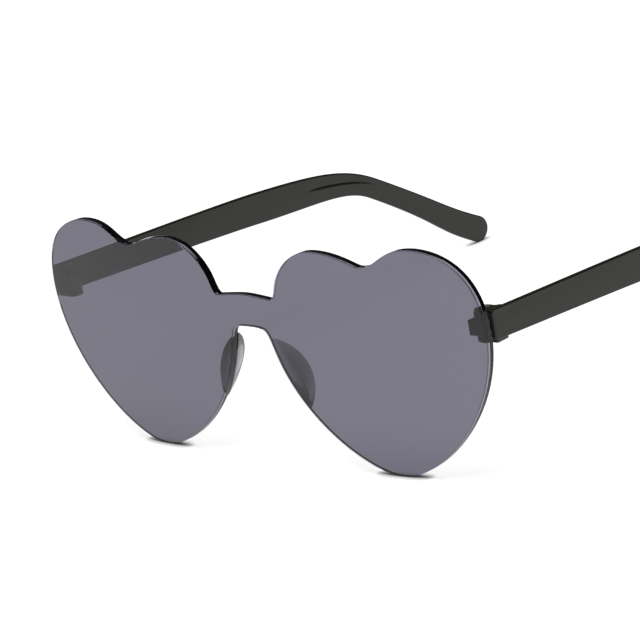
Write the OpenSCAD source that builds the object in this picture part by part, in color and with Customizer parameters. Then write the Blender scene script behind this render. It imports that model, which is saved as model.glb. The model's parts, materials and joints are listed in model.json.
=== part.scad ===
// Heart shaped sunglasses: a one piece lens with a bonded hinge end piece and a bonded nose pad
// on each side, and two temples that fold on screws. Millimetres, +Z up, -Y is the front, and +X
// is the wearer's left. The origin is below the middle of the glasses, at the height of the
// surface that they stand on with the heart tips and the temple tips.

/* [Overall] */
// Sub-part to draw, or all of them
// Depth from the front of the lens to the ends of the temple tips
overall_depth = 149.6; // [125:1:160]

/* [Lens] */
// Width of the lens over both hearts
lens_w = 150; // [130:1:165]
// Height of each heart from its tip to its outer crest
heart_h = 56; // [46:0.5:64]
// Thickness of the lens
lens_t = 2; // [1.4:0.1:3]
// Radius of the ball that the front of the lens follows
lens_r = 595; // [300:5:1200]
// Height at which the lens stands plumb
lens_plumb_z = 22.8; // [0:0.2:50]
// Width of the bridge between the two hearts, along its top edge
bridge_w = 18; // [14:0.5:22]
// Height of the bridge in the middle
bridge_h = 7.9; // [5:0.1:12]
// How far the top of the bridge lies below the outer crests
bridge_drop = 13.8; // [10:0.2:18]
// How far the top edge of the bridge falls from its middle to its ends
bridge_fall = 0.7; // [0:0.1:1.5]

/* [Nose pads] */
// Thickness of a nose pad across its foot
pad_t = 4.2; // [3:0.1:5.5]
// How far the nose side of a nose pad bulges in the middle, along with the lens's edge
pad_bulge = 1.1; // [0.4:0.1:2]
// How far a nose pad stands back from the lens
pad_depth = 4.5; // [3:0.1:7]
// Angle by which the nose side of a pad leans away from the nose, in degrees
pad_splay = 22; // [0:1:30]

/* [Hinges] */
// How far each hinge axis lies in from the side of the lens
hinge_inset = 3.6; // [2:0.1:8]
// Middle of the hinges below the outer crests of the hearts
hinge_drop = 18.2; // [14:0.2:22]
// Height of the hinge over all of its knuckles
hinge_h = 7.8; // [7:0.2:12]
// Height of the middle knuckle and of the tongue that carries it
tongue_h = 3.6; // [2.4:0.1:5]
// Length of the tongue along the lens
tongue_w = 4; // [3.6:0.1:7]
// Height of the end piece's foot on the lens
foot_h = 7; // [5:0.1:11]
// Length of the end piece's foot along the lens
foot_w = 1.9; // [1.5:0.05:3.6]
// Thickness of the end piece's foot behind the lens, where it passes under the knuckles
foot_t = 0.55; // [0.4:0.05:1.5]
// Outer radius of the knuckles
knuckle_r = 1.9; // [1.5:0.05:2.2]
// Width of the web between the knuckles' slot and the plate of the temple
web_w = 0.6; // [0.4:0.1:3]
// Radius of the hinge screw's shank
screw_r = 0.7; // [0.5:0.05:0.9]
// Radius of the hinge screw's head
head_r = 1.2; // [0.9:0.05:1.35]
// Height of the hinge screw's head
head_h = 0.7; // [0.4:0.05:1]

/* [Temples] */
// Thickness of a temple
temple_t = 1.5; // [1.2:0.1:4]
// Height of the temple at its root
root_h = 7.3; // [5:0.1:9]
// Height of the temple where its bend begins
shaft_h = 8.1; // [5:0.1:10]
// Height of the temple where its bend ends
neck_h = 5.4; // [4:0.1:8]
// Height of the temple at its tip
tip_h = 6.9; // [5:0.1:10]
// Angle by which each temple leans inwards towards its tip, in degrees
toe_in = 1.1; // [0:0.1:4]

/* [Hidden] */
// How far cutting tools run past what they cut
overrun = 1;
// Air between the ends of the knuckles
knuckle_gap = 0.2;
// Air between a knuckle and the faces that turn around it
turn_gap = 0.3;
// Air between the front end of a temple and the back of the lens
root_gap = 0.4;
// Thickness of the bond under the flat feet of the end pieces and the nose pads
bond_gap = 0.1;
// Running clearance of the screw in the middle knuckle and in the upper knuckle
screw_gap = 0.05;
// How far the thread bites into the lower knuckle
thread_bite = 0.04;
// Depth by which the screw head lies below the top of the knuckle
head_sink = 0.15;
// Width and depth of the slot in the screw head
slot_w = 0.4;
slot_depth = 0.35;
// Height left under the end of the screw
screw_end = 0.3;
// How far the middle of the foot lies above the middle of the tongue
foot_rise = 0.3;
// How far the tongue runs into the knuckle that it carries
tongue_bite = 1.25;
// Size of the slope between the back of the knuckles and the plate of the temple
root_slope = 0.9;
// Steps along each curve of an outline, and around the temple tips
curve_steps = 12;
tip_steps = 16;
// Smoothness of round pieces and of the large ball shaped faces
$fn = 96;
ball_fn = 720;
dome_fn = 256;

// Places of the main features
front_y = -overall_depth / 2;
ball_y = front_y + lens_r;
heart_w = (lens_w - bridge_w) / 2;
bridge_top_z = heart_h - bridge_drop;
arch_z = bridge_top_z - bridge_h;
hinge_z = heart_h - hinge_drop;
function lens_back_y(x, z) =
    ball_y - sqrt(pow(lens_r - lens_t, 2) - pow(x, 2) - pow(z - lens_plumb_z, 2));
// The plate of the temple stands this far out from the hinge axis
plate_in = knuckle_r + turn_gap + web_w;
axis_stand = bond_gap + foot_t + turn_gap + knuckle_r;
axis_x = lens_w / 2 - hinge_inset;
axis_y = lens_back_y(axis_x, hinge_z) + axis_stand;
root_reach = axis_y - lens_back_y(lens_w / 2, hinge_z) - root_gap;
hinge_low_z = hinge_z - hinge_h / 2;
hinge_top_z = hinge_z + hinge_h / 2;

// A curve runs through stations. Each is a place across and up, the heading there in degrees, and
// how far the curve keeps that heading after and before the station, as shares of the way to the
// next station and from the last one.
function place(s) = [s[0], s[1]];
function way(a, b) = norm(place(b) - place(a));
function leaving(a, b) = place(a) + way(a, b) * a[3] * [cos(a[2]), sin(a[2])];
function arriving(a, b) = place(b) - way(a, b) * b[4] * [cos(b[2]), sin(b[2])];
function on_leg(a, b, t) =
    pow(1 - t, 3) * place(a) + 3 * pow(1 - t, 2) * t * leaving(a, b)
    + 3 * (1 - t) * pow(t, 2) * arriving(a, b) + pow(t, 3) * place(b);
function along_leg(a, b, t) =
    pow(1 - t, 2) * (leaving(a, b) - place(a)) + 2 * (1 - t) * t * (arriving(a, b) - leaving(a, b))
    + pow(t, 2) * (place(b) - arriving(a, b));
function unit(v) = v / norm(v);
function eased(t) = pow(t, 2) * (3 - 2 * t);

// Outline of the lens, its left half from the top of the bridge round the heart to the nose arch.
// Across counts from the bridge's end as a share of the heart's width, up as a share of its height.
function heart_place(across_share, up_share) =
    [bridge_w / 2 + across_share * heart_w, up_share * heart_h];
function station(p, heading, after_share, before_share) =
    [p[0], p[1], heading, after_share, before_share];
bridge_middle = station([0, bridge_top_z], 0, 0.3, 0);
bridge_end = station([bridge_w / 2, bridge_top_z - bridge_fall], -5, 0.25, 0.3);
lobe_foot = station(heart_place(0.042, 0.822), 64, 0.13, 0.4);
inner_crest = station(heart_place(0.245, 0.968), 0, 0.53, 0.51);
notch = station(heart_place(0.467, 0.915), 1, 0.37, 0.1);
outer_crest = station(heart_place(0.712, 1), 0, 0.2, 0.55);
heart_side = station(heart_place(1, 0.668), -90, 0.4, 0.61);
heart_tip = station(heart_place(0.49, 0), -180, 0.24, 0.24);
nose_side = station(heart_place(-0.02, 0.494), -252, 0.63, 0.39);
arch_middle = station([0, arch_z], -180, 0, 0.63);
half_lens = [bridge_middle, bridge_end, lobe_foot, inner_crest, notch, outer_crest, heart_side,
    heart_tip, nose_side, arch_middle];
half_points = [for (i = [0 : len(half_lens) - 2]) for (j = [0 : curve_steps - 1])
    on_leg(half_lens[i], half_lens[i + 1], j / curve_steps)];
mirrored_points = [for (i = [len(half_points) - 1 : -1 : 1]) [-half_points[i][0], half_points[i][1]]];
lens_points = concat(half_points, [place(arch_middle)], mirrored_points);

// Each nose pad runs between two points of the heart's nose side
pad_top_share = 0.29;
pad_low_share = 0.705;
pad_edge_share = 0.9;
pad_top = on_leg(nose_side, arch_middle, pad_top_share);
pad_low = on_leg(heart_tip, nose_side, pad_low_share);
pad_len = norm(pad_top - pad_low);
pad_middle = (pad_top + pad_low) / 2;
pad_edge = on_leg(heart_tip, nose_side, pad_edge_share);
pad_heading = atan2(pad_top[1] - pad_low[1], pad_top[0] - pad_low[0]);

// Height of the temple's middle line over the middle of the hinge, at the root
temple_rise = 0.5;
// Middle line of the temple in its own plane: back from the hinge axis, and up
tip_back = (front_y + overall_depth - axis_y) / cos(toe_in) - tip_h / 2;
function temple_place(back_share, up_share) = [back_share * tip_back, up_share * hinge_z];
temple_root = station([-root_reach, hinge_z + temple_rise], -3.8, 0.2, 0);
bend_start = station(temple_place(0.463, 0.901), -5.4, 0.54, 0.2);
bend_end = station(temple_place(0.758, 0.687), -32.8, 0.65, 0.256);
temple_tip = station([tip_back, tip_h / 2], -29, 0, 0.332);
temple_line = [temple_root, bend_start, bend_end, temple_tip];
temple_heights = [root_h, shaft_h, neck_h, tip_h];
function temple_edge(i, t, side) =
    let (a = temple_line[i], b = temple_line[i + 1], d = unit(along_leg(a, b, t)),
        h = temple_heights[i] + (temple_heights[i + 1] - temple_heights[i]) * eased(t))
    on_leg(a, b, t) + side * h / 2 * [-d[1], d[0]];
upper_points = [for (i = [0 : 2]) for (j = [0 : curve_steps - 1]) temple_edge(i, j / curve_steps, 1)];
lower_points = [for (i = [2 : -1 : 0]) for (j = [curve_steps - 1 : -1 : 0])
    temple_edge(i, j / curve_steps, -1)];
tip_points = [for (k = [0 : tip_steps]) let (turn = temple_tip[2] + 90 - 180 * k / tip_steps)
    place(temple_tip) + tip_h / 2 * [cos(turn), sin(turn)]];
temple_points = concat(upper_points, tip_points, lower_points);

module ball(radius) {
    translate([0, ball_y, lens_plumb_z]) sphere(r = radius, $fn = ball_fn);
}

// Children stand on the bond behind the lens, with their own y along the lens's normal
module behind_lens(x, z) {
    foot_y = lens_back_y(x, z);
    lean = -asin((z - lens_plumb_z) / (lens_r - lens_t));
    swing = atan2(x, ball_y - foot_y);
    translate([x, foot_y, z]) rotate([lean, 0, swing]) translate([0, bond_gap, 0]) children();
}

module lens() {
    depth = lens_back_y(lens_w / 2, heart_h) - front_y + overrun;
    color([0.5, 0.49, 0.54, 0.45]) difference() {
        intersection() {
            translate([0, front_y + depth, 0]) rotate([90, 0, 0])
                linear_extrude(height = depth + overrun) polygon(lens_points);
            ball(lens_r);
        }
        ball(lens_r - lens_t);
    }
}

// A pad is where a shallow dome towards the nose and a higher one on its other side meet a round
// back, a flat foot and a slanted cut.
module nose_pad() {
    nose_r = (pow(pad_len, 2) / 4 + pow(pad_bulge, 2)) / (2 * pad_bulge);
    out_bulge = pad_t - pad_bulge;
    out_r = (pow(pad_len, 2) / 4 + pow(out_bulge, 2)) / (2 * out_bulge);
    back_r = (pow(pad_len, 2) / 4 + pow(pad_depth, 2)) / (2 * pad_depth);
    inset = pad_t / 2 - norm(pad_middle - pad_edge);
    behind_lens(pad_middle[0], pad_middle[1]) rotate([0, 90 - pad_heading, 0])
        translate([inset, 0, 0]) intersection() {
            rotate([0, 90, 0]) rotate_extrude() intersection() {
                translate([0, nose_r - pad_t / 2]) circle(r = nose_r, $fn = dome_fn);
                translate([0, pad_t / 2 - out_r]) circle(r = out_r, $fn = dome_fn);
                translate([0, -pad_t]) square([pad_len, pad_t * 2]);
            }
            translate([0, pad_depth - back_r, 0]) rotate([0, 90, 0])
                cylinder(r = back_r, h = pad_t * 2, center = true);
            translate([-pad_t, 0, -pad_len]) cube([pad_t * 2, pad_depth + overrun, pad_len * 2]);
            translate([-pad_t / 2, 0, -pad_len]) rotate([0, 0, -pad_splay])
                cube([pad_t * 2, pad_depth * 2, pad_len * 2]);
        }
}

module nose_pad_left() {
    color([0.62, 0.62, 0.63]) nose_pad();
}

module nose_pad_right() {
    color([0.62, 0.62, 0.63]) mirror([1, 0, 0]) nose_pad();
}

// The thin foot is bonded to the lens and lies under the temple's knuckles, which turn clear of
// its flat back. The tongue on it carries the middle knuckle.
module end_piece() {
    foot_out = knuckle_r - turn_gap / 2;
    tongue_t = foot_t + turn_gap + tongue_bite;
    foot_back_y = axis_y - knuckle_r - turn_gap;
    difference() {
        union() {
            difference() {
                behind_lens(axis_x, hinge_z) translate([foot_out - foot_w, 0, foot_rise - foot_h / 2])
                    cube([foot_w, tongue_t, foot_h]);
                translate([axis_x - foot_w * 2, foot_back_y, hinge_z - foot_h])
                    cube([foot_w * 4, tongue_t * 2, foot_h * 2]);
            }
            behind_lens(axis_x, hinge_z) translate([foot_out - tongue_w, 0, -tongue_h / 2])
                cube([tongue_w, tongue_t, tongue_h]);
            translate([axis_x, axis_y, hinge_z - tongue_h / 2]) cylinder(r = knuckle_r, h = tongue_h);
        }
        translate([axis_x, axis_y, hinge_low_z]) cylinder(r = screw_r + screw_gap, h = hinge_h);
    }
}

module end_piece_left() {
    color([0.2, 0.2, 0.2]) end_piece();
}

module end_piece_right() {
    color([0.2, 0.2, 0.2]) mirror([1, 0, 0]) end_piece();
}

// Knuckles in the temple's own frame, with the hinge axis at its origin and x pointing outwards
module temple_knuckles() {
    slot_h = tongue_h + knuckle_gap * 2;
    slot_out = knuckle_r + turn_gap;
    difference() {
        translate([0, 0, hinge_low_z]) union() {
            cylinder(r = knuckle_r, h = hinge_h);
            linear_extrude(height = hinge_h)
                polygon([[0, -knuckle_r], [plate_in + temple_t, -knuckle_r],
                    [plate_in + temple_t, knuckle_r], [plate_in, knuckle_r + root_slope],
                    [plate_in - root_slope, knuckle_r], [0, knuckle_r]]);
        }
        translate([-slot_out - overrun, -slot_out - overrun, hinge_z - slot_h / 2])
            cube([slot_out * 2 + overrun, (slot_out + overrun) * 2, slot_h]);
    }
}

module temple() {
    translate([axis_x, axis_y, 0]) rotate([0, 0, toe_in]) difference() {
        union() {
            translate([plate_in, 0, 0]) rotate([90, 0, 90])
                linear_extrude(height = temple_t) polygon(temple_points);
            intersection() {
                temple_knuckles();
                translate([-knuckle_r, -root_reach, hinge_low_z])
                    cube([knuckle_r + plate_in + temple_t, root_reach + knuckle_r + root_slope, hinge_h]);
            }
        }
        translate([0, 0, hinge_z]) cylinder(r = screw_r + screw_gap, h = hinge_h);
        translate([0, 0, hinge_low_z - overrun]) cylinder(r = screw_r - thread_bite, h = hinge_h / 2);
        translate([0, 0, hinge_top_z - head_sink - head_h])
            cylinder(r = head_r + screw_gap, h = head_h + head_sink + overrun);
    }
}

module temple_left() {
    color([0.28, 0.28, 0.26]) temple();
}

module temple_right() {
    color([0.28, 0.28, 0.26]) mirror([1, 0, 0]) temple();
}

module hinge_screw() {
    head_low_z = hinge_top_z - head_sink - head_h;
    translate([axis_x, axis_y, 0]) difference() {
        union() {
            translate([0, 0, hinge_low_z + screw_end])
                cylinder(r = screw_r, h = head_low_z - hinge_low_z - screw_end);
            translate([0, 0, head_low_z]) cylinder(r = head_r, h = head_h);
        }
        translate([-head_r - overrun, -slot_w / 2, head_low_z + head_h - slot_depth])
            cube([(head_r + overrun) * 2, slot_w, slot_depth + overrun]);
    }
}

module hinge_screw_left() {
    color([0.75, 0.75, 0.76]) hinge_screw();
}

module hinge_screw_right() {
    color([0.75, 0.75, 0.76]) mirror([1, 0, 0]) hinge_screw();
}

lens();
nose_pad_left();
nose_pad_right();
end_piece_left();
end_piece_right();
temple_left();
temple_right();
hinge_screw_left();
hinge_screw_right();
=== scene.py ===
import json
import math

import bmesh
import bpy
from mathutils import Matrix, Vector


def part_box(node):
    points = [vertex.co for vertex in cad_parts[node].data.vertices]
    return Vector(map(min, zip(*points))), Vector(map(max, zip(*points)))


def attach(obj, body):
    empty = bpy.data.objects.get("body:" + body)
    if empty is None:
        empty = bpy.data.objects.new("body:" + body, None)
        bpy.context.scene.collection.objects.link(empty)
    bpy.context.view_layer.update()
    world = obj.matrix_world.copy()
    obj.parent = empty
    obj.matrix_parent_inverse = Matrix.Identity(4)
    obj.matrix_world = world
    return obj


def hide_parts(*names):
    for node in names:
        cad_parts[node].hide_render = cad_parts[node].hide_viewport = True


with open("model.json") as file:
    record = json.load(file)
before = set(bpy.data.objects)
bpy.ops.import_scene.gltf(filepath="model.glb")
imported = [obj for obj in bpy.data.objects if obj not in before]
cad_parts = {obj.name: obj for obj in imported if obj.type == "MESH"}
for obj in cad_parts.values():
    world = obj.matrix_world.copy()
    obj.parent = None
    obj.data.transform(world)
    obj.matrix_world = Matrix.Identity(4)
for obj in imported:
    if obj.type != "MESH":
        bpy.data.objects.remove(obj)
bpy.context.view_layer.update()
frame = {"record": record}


# Lens. One sheet of polished smoke grey polycarbonate, cut to two hearts and the bridge between
# them, with the front of its edge polished over. It is part of a large ball, so both hearts wrap
# a little round the face. The other pieces are bonded behind it.
lens_low, lens_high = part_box("lens")
lens_w = lens_high.x - lens_low.x
heart_h = lens_high.z - lens_low.z
overall_depth = 0.1496
front_y = -overall_depth / 2
lens_t = 0.002
lens_r = 0.595
lens_plumb_z = 0.0228
lens_edge_r = 0.00015
polish_depth = 0.0008
top_polish_depth = 0.0004
bridge_w = 0.018
bridge_top_z = heart_h - 0.0138
bridge_end_z = bridge_top_z - 0.0007
arch_z = bridge_top_z - 0.0079
ball_y = front_y + lens_r


def on_heart(across_share, up_share):
    """A place on a heart: across from the bridge's end, and up, as shares of the heart's size."""
    heart_w = (lens_w - bridge_w) / 2
    return (bridge_w / 2 + across_share * heart_w, up_share * heart_h)


def lens_y(x, z, behind_front):
    """How far back the lens lies at x and z, at some depth behind its front face."""
    radius = lens_r - behind_front
    return ball_y - math.sqrt(radius**2 - x**2 - (z - lens_plumb_z) ** 2)


# Each station is a place, a heading in degrees, and how far the curve keeps that heading after
# and before the station, as shares of the way to the next one and from the last one.
LENS_STATIONS = [
    ((0, bridge_top_z), 0, 0.3, 0),
    ((bridge_w / 2, bridge_end_z), -5, 0.25, 0.3),
    (on_heart(0.042, 0.822), 64, 0.13, 0.4),
    (on_heart(0.245, 0.968), 0, 0.53, 0.51),
    (on_heart(0.467, 0.915), 1, 0.37, 0.1),
    (on_heart(0.712, 1), 0, 0.2, 0.55),
    (on_heart(1, 0.668), -90, 0.4, 0.61),
    (on_heart(0.49, 0), -180, 0.24, 0.24),
    (on_heart(-0.02, 0.494), -252, 0.63, 0.39),
    ((0, arch_z), -180, 0, 0.63),
]


def with_handles(stations):
    """Turns stations into the points of a Bezier curve, each with its handle before and after."""
    points = []
    for i, (place, heading, after_share, before_share) in enumerate(stations):
        here = Vector(place)
        way = Vector((math.cos(math.radians(heading)), math.sin(math.radians(heading))))
        last = Vector(stations[max(i - 1, 0)][0])
        following = Vector(stations[min(i + 1, len(stations) - 1)][0])
        before = here - way * before_share * (here - last).length
        after = here + way * after_share * (following - here).length
        points.append((here, before, after))
    return points


def mirrored(points):
    """The same points on the other side, in the order that goes on round the outline."""
    swap = Matrix.Diagonal((-1, 1))
    return [(swap @ here, swap @ after, swap @ before) for here, before, after in reversed(points)]


def join_half(points):
    """Closes a half outline with its mirror image. The two middle points are shared."""
    other = mirrored(points)
    top = (points[0][0], other[-1][1], points[0][2])
    bottom = (points[-1][0], points[-1][1], other[0][2])
    return [top] + points[1:-1] + [bottom] + other[1:-1]


def add_spline(curve, places, closed=False, handles=None, steps=1):
    """Adds a line through places to a curve, straight, or bent by its pairs of handles."""
    spline = curve.splines.new("BEZIER" if handles else "POLY")
    spline.use_cyclic_u = closed
    spline.resolution_u = steps
    if not handles:
        spline.points.add(len(places) - 1)
        for point, place in zip(spline.points, places):
            point.co = (*place, 0, 1)
        return
    spline.bezier_points.add(len(places) - 1)
    for point, place, (before, after) in zip(spline.bezier_points, places, handles):
        point.handle_left_type = point.handle_right_type = "FREE"
        point.co = (*place, 0)
        point.handle_left = (*before, 0)
        point.handle_right = (*after, 0)


class Field:
    """A number or a vector worked out at every point, in a tree of nodes."""

    def __init__(self, socket):
        self.socket = socket
        self.tree = socket.id_data

    def math(self, operation, *others, kind="ShaderNodeMath", output=0):
        made = self.tree.nodes.new(kind)
        made.operation = operation
        for socket, value in zip(made.inputs, (self, *others)):
            feed(socket, value)
        return Field(made.outputs[output])

    def vector(self, operation, *others, output=0):
        return self.math(operation, *others, kind="ShaderNodeVectorMath", output=output)

    def __add__(self, other):
        return self.math("ADD", other)

    def __sub__(self, other):
        return self.math("SUBTRACT", other)

    def __mul__(self, other):
        return self.math("MULTIPLY", other)

    def __truediv__(self, other):
        return self.math("DIVIDE", other)

    def __pow__(self, other):
        return self.math("POWER", other)

    def between(self, low, high, smooth=False):
        """0 up to low, 1 from high on, and in between as a straight line or a smooth step."""
        made = self.tree.nodes.new("ShaderNodeMapRange")
        made.interpolation_type = "SMOOTHSTEP" if smooth else "LINEAR"
        for socket, value in zip(made.inputs, (self, low, high)):
            feed(socket, value)
        return Field(made.outputs[0])


def feed(socket, value):
    """Links a field or a socket to a node's input, or sets the input to a plain value."""
    if isinstance(value, Field):
        value = value.socket
    if isinstance(value, bpy.types.NodeSocket):
        socket.id_data.links.new(value, socket)
    else:
        socket.default_value = value


def add_node(tree, kind, inputs=(), **settings):
    """Adds a node, with its settings and its inputs by name."""
    made = tree.nodes.new(kind)
    for name, value in settings.items():
        setattr(made, name, value)
    for name, value in dict(inputs).items():
        feed(made.inputs[name], value)
    return made


def new_tree(name, inputs, outputs):
    """An empty Geometry Nodes tree with named inputs and outputs, its input fields and its end."""
    tree = bpy.data.node_groups.new(name, "GeometryNodeTree")
    for way, sockets in (("INPUT", inputs), ("OUTPUT", outputs)):
        for label, kind in sockets.items():
            tree.interface.new_socket(label, in_out=way, socket_type="NodeSocket" + kind)
    start = tree.nodes.new("NodeGroupInput")
    fields = {socket.name: Field(socket) for socket in start.outputs if socket.name}
    return tree, fields, tree.nodes.new("NodeGroupOutput")


def parts_of(vector):
    """The three parts of a vector field."""
    split = add_node(vector.tree, "ShaderNodeSeparateXYZ", {"Vector": vector})
    return [Field(socket) for socket in split.outputs]


def vector_of(x, y, z):
    """A vector field from three parts, the first of which is a field."""
    return Field(add_node(x.tree, "ShaderNodeCombineXYZ", {"X": x, "Y": y, "Z": z}).outputs[0])


def scaled(vector, factor):
    """A vector field times a number."""
    made = add_node(vector.tree, "ShaderNodeVectorMath", operation="SCALE")
    feed(made.inputs["Vector"], vector)
    feed(made.inputs["Scale"], factor)
    return Field(made.outputs[0])


def mixed(tree, share, first, second):
    """A vector field that goes from the first to the second as a share goes from 0 to 1."""
    mix = add_node(tree, "ShaderNodeMix", data_type="VECTOR")
    feed(mix.inputs["Factor"], share)
    ends = [socket for socket in mix.inputs if socket.type == "VECTOR" and socket.name in "AB"]
    for socket, value in zip(ends, (first, second)):
        feed(socket, value)
    return Field([socket for socket in mix.outputs if socket.type == "VECTOR"][0])


def sample_curve(tree, curves, share, index):
    """The place and the direction at a share of the length of one of the curves."""
    sample = add_node(tree, "GeometryNodeSampleCurve", mode="FACTOR", data_type="FLOAT")
    feed(sample.inputs["Curves"], curves)
    feed(sample.inputs["Factor"], share)
    feed(sample.inputs["Curve Index"], index)
    return Field(sample.outputs["Position"]), Field(sample.outputs["Tangent"])


PLATE_INPUTS = {"Curves": "Geometry", "Columns": "Int", "Rows": "Int", "Start": "Float",
                "Pull": "Float", "Thickness": "Float", "Edge Radius": "Float"}


def build_eased_plate():
    """A closed plate in X and Y with eased edges. The first curve is its outline, which runs
    clockwise, and the second is the spine that the rings of faces shrink to. Start is the share
    of the outline by which it begins after the spine's own start, and a Pull under 1 draws the
    rings out from the middle of the spine."""
    tree, given, end = new_tree(
        "eased_plate",
        PLATE_INPUTS,
        {"Mesh": "Geometry", "Along Spine": "Float", "Above Spine": "Float", "Side": "Float"},
    )
    flat_share = 1 / 3
    rim_share = 0.36
    shrink_power = 1.6
    merge_distance = 1e-5
    grid = add_node(tree, "GeometryNodeMeshGrid", {"Size X": 1.0, "Size Y": 1.0})
    feed(grid.inputs["Vertices X"], given["Columns"])
    feed(grid.inputs["Vertices Y"], given["Rows"])
    across, down, _ = parts_of(Field(tree.nodes.new("GeometryNodeInputPosition").outputs[0]))

    # From the middle of the edge over its rounding to each face, and on to the spine
    along = across + 0.5
    side = down.math("SIGN")
    from_edge = down.math("ABSOLUTE") * 2
    half_flat = given["Thickness"] * 0.5 - given["Edge Radius"]
    turn = from_edge.between(flat_share * rim_share, rim_share) * (math.pi / 2)
    depth = from_edge.between(0, flat_share * rim_share) * half_flat
    depth = depth + given["Edge Radius"] * turn.math("SINE")
    inset = given["Edge Radius"] * (turn.math("COSINE") * -1 + 1)
    inwards = from_edge.between(rim_share, 1) ** shrink_power

    # The rim follows the outline, and every ring inside it is nearer to the spine
    edge, heading = sample_curve(tree, given["Curves"], along, 0)
    heading_x, heading_y, _ = parts_of(heading)
    to_inside = vector_of(heading_y, heading_x * -1, 0).vector("NORMALIZE")
    rim = edge.vector("ADD", scaled(to_inside, inset))
    turned = (along + given["Start"]).math("FRACT")
    spine_share = (turned * 2 - 1).math("ABSOLUTE") * -1 + 1
    from_middle = spine_share * 2 - 1
    pulled = from_middle.math("SIGN") * from_middle.math("ABSOLUTE") ** given["Pull"]
    spine_share = pulled * 0.5 + 0.5
    spine, _ = sample_curve(tree, given["Curves"], spine_share, 1)
    flat = mixed(tree, inwards, rim, spine)
    flat_x, flat_y, _ = parts_of(flat)
    placed = vector_of(flat_x, flat_y, side * depth)

    # What a tree that uses the plate may want to know of each point
    upper = turned.math("LESS_THAN", 0.5) * 2 - 1
    above = flat.vector("DISTANCE", spine, output=1) * upper
    mesh = grid.outputs["Mesh"]
    for label, field in (("Along Spine", spine_share), ("Above Spine", above), ("Side", side)):
        capture = tree.nodes.new("GeometryNodeCaptureAttribute")
        capture.capture_items.new("FLOAT", label)
        feed(capture.inputs[0], mesh)
        feed(capture.inputs[label], field)
        mesh = capture.outputs[0]
        feed(end.inputs[label], capture.outputs[label])
    moved = add_node(tree, "GeometryNodeSetPosition", {"Geometry": mesh, "Position": placed})
    merged = add_node(tree, "GeometryNodeMergeByDistance", {"Geometry": moved.outputs[0]})
    feed(merged.inputs["Distance"], merge_distance)
    turned_out = add_node(tree, "GeometryNodeFlipFaces", {"Mesh": merged.outputs[0]})
    smooth = add_node(tree, "GeometryNodeSetShadeSmooth", {"Geometry": turned_out.outputs[0]})
    feed(end.inputs["Mesh"], smooth.outputs[0])
    return tree


eased_plate = build_eased_plate()


def put_plate(tree, given):
    """Places the plate's group in a tree and hands it the tree's own inputs of the same names."""
    group = tree.nodes.new("GeometryNodeGroup")
    group.node_tree = eased_plate
    for socket in group.inputs:
        if socket.name in given:
            feed(socket, given[socket.name])
    return group


def finish_tree(tree, end, mesh, material):
    """Ends a tree as a plain mesh with its material."""
    real = add_node(tree, "GeometryNodeRealizeInstances", {"Geometry": mesh})
    painted = add_node(tree, "GeometryNodeSetMaterial", {"Geometry": real.outputs[0]})
    feed(painted.inputs["Material"], material)
    feed(end.inputs["Mesh"], painted.outputs[0])


def build_lens_tree():
    """The plate bent to the ball that the lens is part of."""
    inputs = {**PLATE_INPUTS, "Ball Radius": "Float", "Ball Back": "Float", "Plumb Height": "Float",
              "Material": "Material"}
    tree, given, end = new_tree("lens_sheet", inputs, {"Mesh": "Geometry"})
    plate = put_plate(tree, given)
    x, up, forward = parts_of(Field(tree.nodes.new("GeometryNodeInputPosition").outputs[0]))
    radius = given["Ball Radius"] - given["Thickness"] * 0.5 + forward
    above_plumb = up - given["Plumb Height"]
    reach = (radius**2 - x**2 - above_plumb**2).math("SQRT")
    bent = add_node(tree, "GeometryNodeSetPosition", {"Geometry": plate.outputs["Mesh"]})
    feed(bent.inputs["Position"], vector_of(x, given["Ball Back"] - reach, up))
    finish_tree(tree, end, bent.outputs[0], given["Material"])
    return tree


def made_mesh(name, curve, tree, values):
    """Runs a tree on a curve with the inputs set, and gives the result as a plain mesh."""
    host = bpy.data.objects.new(name + "_curve", curve)
    bpy.context.scene.collection.objects.link(host)
    modifier = host.modifiers.new("shape", "NODES")
    modifier.node_group = tree
    for item in tree.interface.items_tree:
        if item.in_out == "INPUT" and item.name in values:
            modifier[item.identifier] = values[item.name]
    bpy.context.view_layer.update()
    evaluated = host.evaluated_get(bpy.context.evaluated_depsgraph_get())
    mesh = bpy.data.meshes.new_from_object(evaluated)
    host.modifiers.remove(modifier)
    bpy.data.objects.remove(host)
    mesh.name = name
    return mesh


def add_piece(name, mesh, body, slot, *nodes):
    """Shows a mesh as a piece that moves with a body and stands for CAD nodes."""
    piece = bpy.data.objects.new(name, mesh)
    bpy.context.scene.collection.objects.link(piece)
    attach(piece, body)
    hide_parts(*nodes)
    return piece


MARKS = ("Smudge Scale", "Scuff Scale", "Smooth Roughness", "Worn Roughness")


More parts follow.
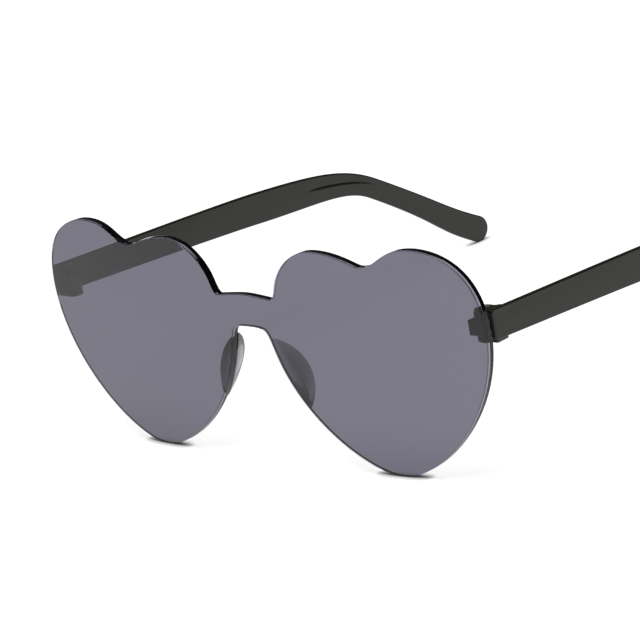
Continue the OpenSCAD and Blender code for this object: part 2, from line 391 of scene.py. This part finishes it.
def build_handling_marks():
    """Faint smudges and fine scuffs: a roughness between two limits, and a height for a bump."""
    tree = bpy.data.node_groups.new("handling_marks", "ShaderNodeTree")
    for label in MARKS:
        tree.interface.new_socket(label, in_out="INPUT", socket_type="NodeSocketFloat")
    for label in ("Roughness", "Height"):
        tree.interface.new_socket(label, in_out="OUTPUT", socket_type="NodeSocketFloat")
    given, end = tree.nodes.new("NodeGroupInput"), tree.nodes.new("NodeGroupOutput")
    place = tree.nodes.new("ShaderNodeTexCoord").outputs["Object"]
    smudge = add_node(tree, "ShaderNodeTexNoise", {"Vector": place, "Detail": 3.0})
    feed(smudge.inputs["Scale"], given.outputs["Smudge Scale"])
    scuff = add_node(tree, "ShaderNodeTexNoise", {"Vector": place, "Detail": 5.0, "Roughness": 0.7})
    feed(scuff.inputs["Scale"], given.outputs["Scuff Scale"])
    smudged = Field(smudge.outputs["Fac"]).between(0.45, 0.75, smooth=True)
    scuffed = Field(scuff.outputs["Fac"]).between(0.55, 0.8)
    worn = (smudged * 0.6 + scuffed * 0.4).math("MINIMUM", 1)
    low, high = (Field(given.outputs[label]) for label in MARKS[2:])
    feed(end.inputs["Roughness"], low + (high - low) * worn)
    feed(end.inputs["Height"], scuff.outputs["Fac"])
    return tree


handling_marks = build_handling_marks()


def new_material(name, marks, bump_height, **sockets):
    """A Principled material whose roughness and fine bump come from the handling marks."""
    material = bpy.data.materials.new(name)
    material.use_nodes = True
    tree = material.node_tree
    shader = tree.nodes["Principled BSDF"]
    group = add_node(tree, "ShaderNodeGroup", node_tree=handling_marks)
    for label, value in zip(MARKS, marks):
        group.inputs[label].default_value = value
    bump = add_node(tree, "ShaderNodeBump", {"Strength": 1.0, "Distance": bump_height})
    feed(bump.inputs["Height"], group.outputs["Height"])
    feed(shader.inputs["Roughness"], group.outputs["Roughness"])
    feed(shader.inputs["Normal"], bump.outputs["Normal"])
    for label, value in sockets.items():
        shader.inputs[label.replace("_", " ")].default_value = value
    return material


def tint(material, density, colour):
    """Fills clear plastic with a tint that deepens with the way that light takes through it."""
    tree = material.node_tree
    inside = add_node(tree, "ShaderNodeVolumeAbsorption", {"Density": density})
    inside.inputs["Color"].default_value = (*colour, 1)
    feed(tree.nodes["Material Output"].inputs["Volume"], inside.outputs["Volume"])


def polish_over(material):
    """Shades the front of the lens's edge as if it were polished over, and less along the top."""
    tree = material.node_tree
    place = Field(add_node(tree, "ShaderNodeTexCoord").outputs["Object"])
    from_middle = place.vector("SUBTRACT", (0, ball_y, lens_plumb_z))
    depth = from_middle.vector("LENGTH", output=1) * -1 + lens_r
    plain = Field(add_node(tree, "ShaderNodeNewGeometry").outputs["Normal"])
    _, _, upward = parts_of(plain)
    limit = upward.between(0.97, 0.9) * (polish_depth - top_polish_depth) + top_polish_depth
    share = depth.math("GREATER_THAN", lens_edge_r) * depth.math("LESS_THAN", limit)
    turned = from_middle.vector("NORMALIZE").vector("SUBTRACT", plain)
    feed(tree.nodes["Bump"].inputs["Normal"], scaled(turned, share).vector("ADD", plain))


lens_tint = new_material(
    "lens_tint", (90, 900, 0.0, 0.035), 1e-7,
    Base_Color=(1, 1, 1, 1), Transmission_Weight=1.0, IOR=1.49,
)
tint(lens_tint, 1130, (0.26, 0.24, 0.35))
polish_over(lens_tint)

lens_curve = bpy.data.curves.new("lens_outline", "CURVE")
lens_outline = join_half(with_handles(LENS_STATIONS))
add_spline(
    lens_curve, [here for here, _, _ in lens_outline], closed=True,
    handles=[(before, after) for _, before, after in lens_outline], steps=48,
)
spine_end = on_heart(0.68, 0.55)
add_spline(
    lens_curve, [(-spine_end[0], spine_end[1]), (0, (bridge_top_z + arch_z) / 2), spine_end],
)
lens_mesh = made_mesh(
    "lens_sheet", lens_curve, build_lens_tree(),
    {"Columns": 1081, "Rows": 39, "Start": 0.25, "Pull": 0.7, "Thickness": lens_t,
     "Edge Radius": lens_edge_r, "Ball Radius": lens_r, "Ball Back": ball_y,
     "Plumb Height": lens_plumb_z, "Material": lens_tint},
)
add_piece("lens_sheet", lens_mesh, "front", "lens_tint", "lens")


# Nose pads. Clear grey soft plastic, one on the nose side of each heart. Each is a D shaped fin,
# domed a little towards the nose and more on its other side. Its foot is moulded to the lens and
# bonded to it.
pad_t = 0.0042
pad_bulge = 0.0011
pad_depth = 0.0045
pad_splay = math.radians(22)
pad_film = 0.00002
pad_roundness = 3
pad_rings = 72
pad_arc_steps = 36
pad_foot_steps = 6


def on_leg(points, i, t):
    """The place at t on the leg of a curve that leaves point i, and the direction there."""
    start, _, leaving = points[i]
    end, arriving, _ = points[i + 1]
    rest = 1 - t
    place = start * rest**3 + leaving * 3 * t * rest**2 + arriving * 3 * t**2 * rest + end * t**3
    way = (leaving - start) * rest**2 + (arriving - leaving) * 2 * t * rest
    way += (end - arriving) * t**2
    return place, way.normalized()


def dome_height(bulge, half_l, along):
    """Height of a shallow dome at a distance from its middle. It is 0 at half_l."""
    radius = (half_l**2 + bulge**2) / (2 * bulge)
    return math.sqrt(radius**2 - along**2) - radius + bulge


def pad_ring(share, half_l):
    """One cross-section of a pad in its own frame: across, behind the foot, and along."""
    along = -half_l * math.cos(math.pi * share)
    nose_side = pad_bulge - pad_t / 2 - dome_height(pad_bulge, half_l, along)
    thickness = pad_bulge - pad_t / 2 - nose_side + dome_height(pad_t - pad_bulge, half_l, along)
    depth = dome_height(pad_depth, half_l, along)
    ring = []
    for step in range(pad_arc_steps + 1):
        turn = math.pi * step / pad_arc_steps
        across = math.copysign(abs(math.cos(turn)) ** (2 / pad_roundness), math.cos(turn))
        behind = abs(math.sin(turn)) ** (2 / pad_roundness)
        slant = depth * behind * math.tan(pad_splay) * max(-across, 0)
        out = nose_side + thickness * (across + 1) / 2 + slant
        ring.append(Vector((out, depth * behind, along)))
    for step in range(1, pad_foot_steps):
        ring.append(Vector((nose_side + thickness * step / pad_foot_steps, 0, along)))
    return ring


def tube_mesh(name, rings, sharp_degrees):
    """A closed mesh through rings of points, whose first and last ring are each one place."""
    count = len(rings[0])
    faces = [
        (r * count + i, r * count + (i + 1) % count, (r + 1) * count + (i + 1) % count,
         (r + 1) * count + i)
        for r in range(len(rings) - 1) for i in range(count)
    ]
    mesh = bpy.data.meshes.new(name)
    mesh.from_pydata([place for ring in rings for place in ring], [], faces)
    shape = bmesh.new()
    shape.from_mesh(mesh)
    bmesh.ops.remove_doubles(shape, verts=shape.verts, dist=1e-7)
    bmesh.ops.recalc_face_normals(shape, faces=shape.faces)
    shape.to_mesh(mesh)
    shape.free()
    mesh.shade_smooth()
    mesh.set_sharp_from_angle(angle=math.radians(sharp_degrees))
    return mesh


def other_side(mesh, name):
    """The mirror image of a mesh, for the other side of the glasses."""
    image = mesh.copy()
    image.name = name
    image.transform(Matrix.Diagonal((-1, 1, 1, 1)))
    image.flip_normals()
    return image


lens_points = with_handles(LENS_STATIONS)
pad_top = on_leg(lens_points, 8, 0.29)[0]
pad_low = on_leg(lens_points, 7, 0.705)[0]
pad_edge = on_leg(lens_points, 7, 0.9)[0]
pad_half_l = (pad_top - pad_low).length / 2
pad_middle = (pad_top + pad_low) / 2
pad_inset = pad_t / 2 - (pad_middle - pad_edge).length
pad_foot = Vector((pad_middle.x, lens_y(*pad_middle, lens_t), pad_middle.y))
pad_back = (Vector((0, ball_y, lens_plumb_z)) - pad_foot).normalized()
pad_up = Vector((pad_top.x - pad_low.x, 0, pad_top.y - pad_low.y))
pad_up = (pad_up - pad_back * pad_up.dot(pad_back)).normalized()
pad_out = pad_back.cross(pad_up)


def on_pad(place):
    """Takes a point of the pad's own frame to its place behind the lens, which it follows."""
    across = place.x + pad_inset
    follow = (across**2 + place.z**2) / (2 * lens_r)
    return pad_foot + pad_out * across + pad_up * place.z + pad_back * (place.y + pad_film + follow)


pad_clear = new_material(
    "pad_clear", (260, 2500, 0.12, 0.3), 2e-6,
    Base_Color=(0.8, 0.8, 0.82, 1), Transmission_Weight=0.92, IOR=1.43,
)
tint(pad_clear, 560, (0.4, 0.4, 0.42))

own_rings = [pad_ring(i / pad_rings, pad_half_l) for i in range(pad_rings + 1)]
rings = [[on_pad(place) for place in ring] for ring in own_rings]
pad_mesh = tube_mesh("nose_pad_left_fin", rings, 50)
pad_mesh.materials.append(pad_clear)
add_piece("nose_pad_left_fin", pad_mesh, "front", "pad_clear", "nose_pad_left")
add_piece(
    "nose_pad_right_fin", other_side(pad_mesh, "nose_pad_right_fin"), "front", "pad_clear",
    "nose_pad_right",
)


# End pieces. A thin foot of dark smoke plastic is bonded behind the side of each heart. The
# tongue on it carries the middle knuckle of the hinge. Their edges are slightly eased.
smoke_plastic = new_material(
    "smoke_plastic", (140, 1600, 0.2, 0.34), 2e-6,
    Base_Color=(0.021, 0.024, 0.012, 1), IOR=1.5,
)


def dress(node, material, edge_r):
    """Eases the edges of a CAD node and gives it its material. The node itself stays as it is."""
    part = bpy.data.objects[node]
    part.modifiers.new("weld", "WELD").merge_threshold = 1e-6
    flat = part.modifiers.new("flat", "DECIMATE")
    flat.decimate_type = "DISSOLVE"
    flat.angle_limit = math.radians(1)
    eased = part.modifiers.new("eased", "BEVEL")
    eased.width = edge_r
    eased.segments = 3
    eased.limit_method = "ANGLE"
    eased.angle_limit = math.radians(40)
    eased.harden_normals = True
    for slot in part.material_slots:
        slot.material = material


for node in ("end_piece_left", "end_piece_right"):
    dress(node, smoke_plastic, 0.00012)


# Temples. Each is a thin flat arm of dark smoke plastic with eased edges and a round tip. A short
# block at its root has the outer two knuckles. A soft moulded ledge runs along its inner face
# through the bend.
hinge = Vector(frame["record"]["behaviour"]["joints"][0]["pos_m"])
toe_in = math.radians(1.1)
temple_t = 0.0015
temple_edge_r = 0.0004
knuckle_r = 0.0019
turn_gap = 0.0003
slot_out = knuckle_r + turn_gap
plate_in = slot_out + 0.0006
hinge_h = 0.0078
slot_h = 0.004
screw_r = 0.0007
screw_gap = 0.00005
thread_bite = 0.00004
head_r = 0.0012
head_low = hinge_h / 2 - 0.00085
root_slope = 0.0009
root_gap = 0.0004
root_corner_r = 0.0004
crown_share = 0.13
ledge_depth = 0.0003
ledge_soft = 0.0003
ledge_low = 0.0003
ledge_climb = 0.0008
ledge_fall = 0.0004
block_inset = 0.00015
block_corner_r = 0.0004
block_edge_r = 0.0002
overrun = 0.001
arc_steps = 16
leg_steps = 40

TEMPLE_HEIGHTS = (0.0073, 0.0081, 0.0054, 0.0069)
tip_r = TEMPLE_HEIGHTS[-1] / 2
root_reach = hinge.y - lens_y(lens_w / 2, hinge.z, lens_t) - root_gap
tip_back = (front_y + overall_depth - hinge.y) / math.cos(toe_in) - tip_r
TEMPLE_STATIONS = [
    ((-root_reach, hinge.z + 0.0005), -3.8, 0.2, 0),
    ((0.463 * tip_back, 0.901 * hinge.z), -5.4, 0.54, 0.2),
    ((0.758 * tip_back, 0.687 * hinge.z), -32.8, 0.65, 0.256),
    ((tip_back, tip_r), -29, 0, 0.332),
]
temple_line = with_handles(TEMPLE_STATIONS)


def arc_between(first, corner, last, steps):
    """Points of a round corner, from where it leaves one edge to where it meets the next."""
    middle = first + last - corner
    for step in range(steps + 1):
        turn = math.pi / 2 * step / steps
        yield middle + (last - corner) * -math.cos(turn) + (first - corner) * -math.sin(turn)


def temple_edge(i, t, side):
    """A point on the upper or the lower edge of the temple, in its own plane."""
    place, way = on_leg(temple_line, i, t)
    eased = t**2 * (3 - 2 * t)
    height = TEMPLE_HEIGHTS[i] + (TEMPLE_HEIGHTS[i + 1] - TEMPLE_HEIGHTS[i]) * eased
    return place + Vector((-way.y, way.x)) * side * height / 2


def root_corner(side):
    """The round corner at the front end of the temple, from its end to its long edge."""
    corner = temple_edge(0, 0, side)
    end_way = (temple_line[0][0] - corner).normalized() * root_corner_r
    edge_way = on_leg(temple_line, 0, 0)[1] * root_corner_r
    return list(arc_between(corner + end_way, corner, corner + edge_way, arc_steps // 2))


def temple_outline():
    """The temple's outline, clockwise from the middle of its front end."""
    steps = [(i, j / leg_steps) for i in range(3) for j in range(leg_steps)][1:]
    upper = [temple_edge(i, t, 1) for i, t in steps]
    lower = [temple_edge(i, t, -1) for i, t in reversed(steps)]
    tip = []
    for step in range(2 * arc_steps + 1):
        turn = math.radians(TEMPLE_STATIONS[-1][1]) + math.pi / 2 - math.pi * step / (2 * arc_steps)
        tip.append(temple_line[-1][0] + tip_r * Vector((math.cos(turn), math.sin(turn))))
    return [temple_line[0][0]] + root_corner(1) + upper + tip + lower + root_corner(-1)[::-1]


def build_temple_tree():
    """The plate with slightly crowned faces and its soft ledge: above a line along its inner face
    it is a little thinner."""
    inputs = {**PLATE_INPUTS, "Crown Share": "Float", "Half Height": "Float",
              "Ledge Depth": "Float", "Material": "Material"}
    tree, given, end = new_tree("temple_arm", inputs, {"Mesh": "Geometry"})
    plate = put_plate(tree, given)
    along, above, side = (Field(plate.outputs[n]) for n in ("Along Spine", "Above Spine", "Side"))
    x, up, out = parts_of(Field(tree.nodes.new("GeometryNodeInputPosition").outputs[0]))
    fading = along.between(0.63, 0.75, smooth=True)
    line = fading * ledge_climb + ledge_low
    line = line - along.between(0.75, 0.82, smooth=True) * ledge_fall
    strength = along.between(0.545, 0.6, smooth=True) * (fading * -1 + 1)
    raised = (above - line).between(-ledge_soft, ledge_soft, smooth=True)
    recess = raised * strength * side.math("LESS_THAN", 0) * given["Ledge Depth"]
    crown = ((above / given["Half Height"]) ** 2).math("MINIMUM", 1) * given["Crown Share"]
    shaped = add_node(tree, "GeometryNodeSetPosition", {"Geometry": plate.outputs["Mesh"]})
    feed(shaped.inputs["Position"], vector_of(x, up, out * (crown * -1 + 1) + recess))
    finish_tree(tree, end, shaped.outputs[0], given["Material"])
    return tree


def plain_tree():
    """The plate by itself."""
    inputs = {**PLATE_INPUTS, "Material": "Material"}
    tree, given, end = new_tree("plain_plate", inputs, {"Mesh": "Geometry"})
    finish_tree(tree, end, put_plate(tree, given).outputs["Mesh"], given["Material"])
    return tree


def hinge_block_outline():
    """The knuckles' outline seen from above, out and back from the hinge axis."""
    block_out = plate_in + temple_t - block_inset
    corners = [
        (Vector((-knuckle_r, knuckle_r)), knuckle_r),
        (Vector((plate_in - root_slope, knuckle_r)), block_corner_r),
        (Vector((plate_in, knuckle_r + root_slope)), block_corner_r),
        (Vector((block_out, knuckle_r)), block_corner_r),
        (Vector((block_out, -knuckle_r)), block_corner_r),
        (Vector((-knuckle_r, -knuckle_r)), knuckle_r),
    ]
    points = []
    for i, (corner, radius) in enumerate(corners):
        before = (corners[i - 1][0] - corner).normalized() * radius
        after = (corners[(i + 1) % len(corners)][0] - corner).normalized() * radius
        points += arc_between(corner + before, corner, corner + after, arc_steps)
    return points


def tool_mesh(name, low, high, radius=None):
    """A box from low to high, or an upright cylinder of a radius between their heights."""
    shape = bmesh.new()
    middle, size = (low + high) / 2, high - low
    if radius is None:
        fit = Matrix.Translation(middle) @ Matrix.Diagonal((*size, 1))
        bmesh.ops.create_cube(shape, size=1, matrix=fit)
    else:
        bmesh.ops.create_cone(
            shape, cap_ends=True, segments=64, radius1=radius, radius2=radius, depth=size.z,
            matrix=Matrix.Translation(middle),
        )
    mesh = bpy.data.meshes.new(name)
    shape.to_mesh(mesh)
    shape.free()
    return mesh


def combined(name, mesh, *steps):
    """A mesh after each step, which joins another mesh to it or cuts one away."""
    scene = bpy.context.scene.collection
    host = bpy.data.objects.new(name, mesh)
    scene.objects.link(host)
    tools = []
    for operation, other in steps:
        tool = bpy.data.objects.new(other.name, other)
        scene.objects.link(tool)
        tools.append(tool)
        modifier = host.modifiers.new(other.name, "BOOLEAN")
        modifier.operation = operation
        modifier.solver = "MANIFOLD"
        modifier.object = tool
    bpy.context.view_layer.update()
    result = bpy.data.meshes.new_from_object(
        host.evaluated_get(bpy.context.evaluated_depsgraph_get())
    )
    for thing in [host] + tools:
        bpy.data.objects.remove(thing)
    result.name = name
    return result


temple_curve = bpy.data.curves.new("temple_outline", "CURVE")
add_spline(temple_curve, temple_outline(), closed=True)
spine_steps = [(i, j / leg_steps) for i in range(3) for j in range(leg_steps)][2:]
spine_places = [on_leg(temple_line, i, t)[0] for i, t in spine_steps]
add_spline(temple_curve, spine_places + [temple_line[-1][0]])
arm_mesh = made_mesh(
    "temple_arm", temple_curve, build_temple_tree(),
    {"Columns": 501, "Rows": 81, "Start": 0.0, "Pull": 1.0, "Thickness": temple_t,
     "Edge Radius": temple_edge_r, "Crown Share": crown_share, "Half Height": TEMPLE_HEIGHTS[1] / 2,
     "Ledge Depth": ledge_depth, "Material": smoke_plastic},
)

# The arm is drawn lying down. It stands up beside the hinge axis, which is at 0 here.
arm_mesh.transform(Matrix((
    (0, 0, 1, plate_in + temple_t / 2),
    (1, 0, 0, 0),
    (0, 1, 0, -hinge.z),
    (0, 0, 0, 1),
)))

block_curve = bpy.data.curves.new("hinge_block_outline", "CURVE")
add_spline(block_curve, hinge_block_outline(), closed=True)
add_spline(block_curve, [(0, 0), (plate_in, 0)])
block_mesh = made_mesh(
    "hinge_block", block_curve, plain_tree(),
    {"Columns": 241, "Rows": 25, "Start": 0.0, "Pull": 1.0, "Thickness": hinge_h,
     "Edge Radius": block_edge_r, "Material": smoke_plastic},
)

slot_reach = slot_out + overrun
slot_tool = tool_mesh(
    "slot", Vector((-slot_reach, -slot_reach, -slot_h / 2)),
    Vector((slot_out, slot_reach, slot_h / 2)),
)
top = Vector((0, 0, hinge_h))
bore_tool = tool_mesh("bore", Vector((0, 0, 0)), top, screw_r + screw_gap)
thread_tool = tool_mesh("thread", -top, Vector((0, 0, 0)), screw_r - thread_bite)
head_tool = tool_mesh("head", Vector((0, 0, head_low)), top, head_r + screw_gap)
temple_mesh = combined(
    "temple_left_arm", arm_mesh, ("UNION", block_mesh), ("DIFFERENCE", slot_tool),
    ("DIFFERENCE", bore_tool), ("DIFFERENCE", thread_tool), ("DIFFERENCE", head_tool),
)
temple_mesh.transform(Matrix.Translation(hinge) @ Matrix.Rotation(toe_in, 4, "Z"))
temple_mesh.set_sharp_from_angle(angle=math.radians(35))
add_piece("temple_left_arm", temple_mesh, "temple_left", "smoke_plastic", "temple_left")
add_piece(
    "temple_right_arm", other_side(temple_mesh, "temple_right_arm"), "temple_right",
    "smoke_plastic", "temple_right",
)


# Hinge screws. A small slotted steel screw stands in the knuckles of each hinge.
screw_steel = new_material(
    "screw_steel", (500, 3000, 0.25, 0.45), 1e-6, Base_Color=(0.56, 0.56, 0.57, 1), Metallic=1.0,
)
for node in ("hinge_screw_left", "hinge_screw_right"):
    dress(node, screw_steel, 0.00005)


# Studio. A white floor that reaches to the horizon, with a painted shadow right under what
# stands on it, a wide soft lamp overhead, a dim surround that the camera sees as white, and the
# camera at the photograph's place.
floor_half = 3.0
floor_white = (0.8, 0.8, 0.8, 1)
floor_glow = (0.77, 0.77, 0.77, 1)
# How far from what stands on the floor the painted contact shadow reaches.
painted_shadow_reach = 0.002
surround_grey = 0.05
hidden_strength = 0.55
aim = Vector((-0.02912, -0.02698, 0.01644))
camera_azimuth, camera_height, camera_roll = (math.radians(a) for a in (48.99, 16.58, 11.76))
camera_distance = 1.242
sensor_w = 36.0
lens_mm = 283.05

back = Vector((
    math.sin(camera_azimuth) * math.cos(camera_height),
    -math.cos(camera_azimuth) * math.cos(camera_height),
    math.sin(camera_height),
))
level = Vector((math.cos(camera_azimuth), math.sin(camera_azimuth), 0))
upright = back.cross(level)
to_right = math.cos(camera_roll) * level - math.sin(camera_roll) * upright
to_top = math.sin(camera_roll) * level + math.cos(camera_roll) * upright
camera_data = bpy.data.cameras.new("camera")
camera_data.sensor_width = sensor_w
camera_data.lens = lens_mm
camera_data.clip_start = 0.05
camera = bpy.data.objects.new("camera", camera_data)
camera.matrix_world = Matrix.Translation(aim + back * camera_distance) @ Matrix(
    (to_right, to_top, back)
).transposed().to_4x4()
bpy.context.scene.collection.objects.link(camera)
bpy.context.scene.camera = camera

floor_mesh = bpy.data.meshes.new("floor")
floor_mesh.from_pydata(
    [(x * floor_half, y * floor_half, 0) for x, y in ((-1, -1), (1, -1), (1, 1), (-1, 1))],
    [], [(0, 1, 2, 3)],
)
floor = bpy.data.objects.new("floor", floor_mesh)
bpy.context.scene.collection.objects.link(floor)

floor_paper = bpy.data.materials.new("floor_paper")
floor_paper.use_nodes = True
tree = floor_paper.node_tree
tree.nodes.remove(tree.nodes["Principled BSDF"])
matt = add_node(tree, "ShaderNodeBsdfDiffuse", {"Color": floor_white})
glow = add_node(tree, "ShaderNodeEmission", {"Color": floor_glow})
# Ambient occlusion darkens the glow right under what stands on it: a painted contact shadow.
painted_contact_shadow = add_node(tree, "ShaderNodeAmbientOcclusion", {"Distance": painted_shadow_reach})
feed(glow.inputs["Strength"], Field(painted_contact_shadow.outputs["AO"]) ** 2)
shown = tree.nodes.new("ShaderNodeAddShader")
feed(shown.inputs[0], matt.outputs[0])
feed(shown.inputs[1], glow.outputs[0])
ray = tree.nodes.new("ShaderNodeLightPath")
seen = Field(ray.outputs["Is Camera Ray"]).math("MAXIMUM", ray.outputs["Is Transmission Ray"])
seen = seen.math("MAXIMUM", Field(ray.outputs["Is Glossy Ray"]) * 0.7)
either = add_node(tree, "ShaderNodeMixShader", {"Fac": seen})
feed(either.inputs[1], matt.outputs[0])
feed(either.inputs[2], shown.outputs[0])
feed(tree.nodes["Material Output"].inputs["Surface"], either.outputs[0])
floor_mesh.materials.append(floor_paper)

world = bpy.data.worlds.new("surround")
bpy.context.scene.world = world
world.use_nodes = True
tree = world.node_tree
surround = tree.nodes["Background"]
ray = tree.nodes.new("ShaderNodeLightPath")
from_camera = Field(ray.outputs["Is Camera Ray"])
seen = from_camera.math("MAXIMUM", ray.outputs["Is Transmission Ray"])
seen = seen.math("MAXIMUM", ray.outputs["Is Glossy Ray"])
feed(surround.inputs["Color"], from_camera * (1 - surround_grey) + surround_grey)
feed(surround.inputs["Strength"], seen * (1 - hidden_strength) + hidden_strength)

lamp_data = bpy.data.lights.new("overhead", "AREA")
lamp_data.shape = "DISK"
lamp_data.size = 1.2
lamp_data.energy = 9
lamp = bpy.data.objects.new("overhead", lamp_data)
lamp.location = (0.1, -0.2, 1.2)
lamp.rotation_mode = "QUATERNION"
lamp.rotation_quaternion = lamp.location.to_track_quat("Z", "Y")
bpy.context.scene.collection.objects.link(lamp)

bpy.context.scene.view_settings.view_transform = "Standard"
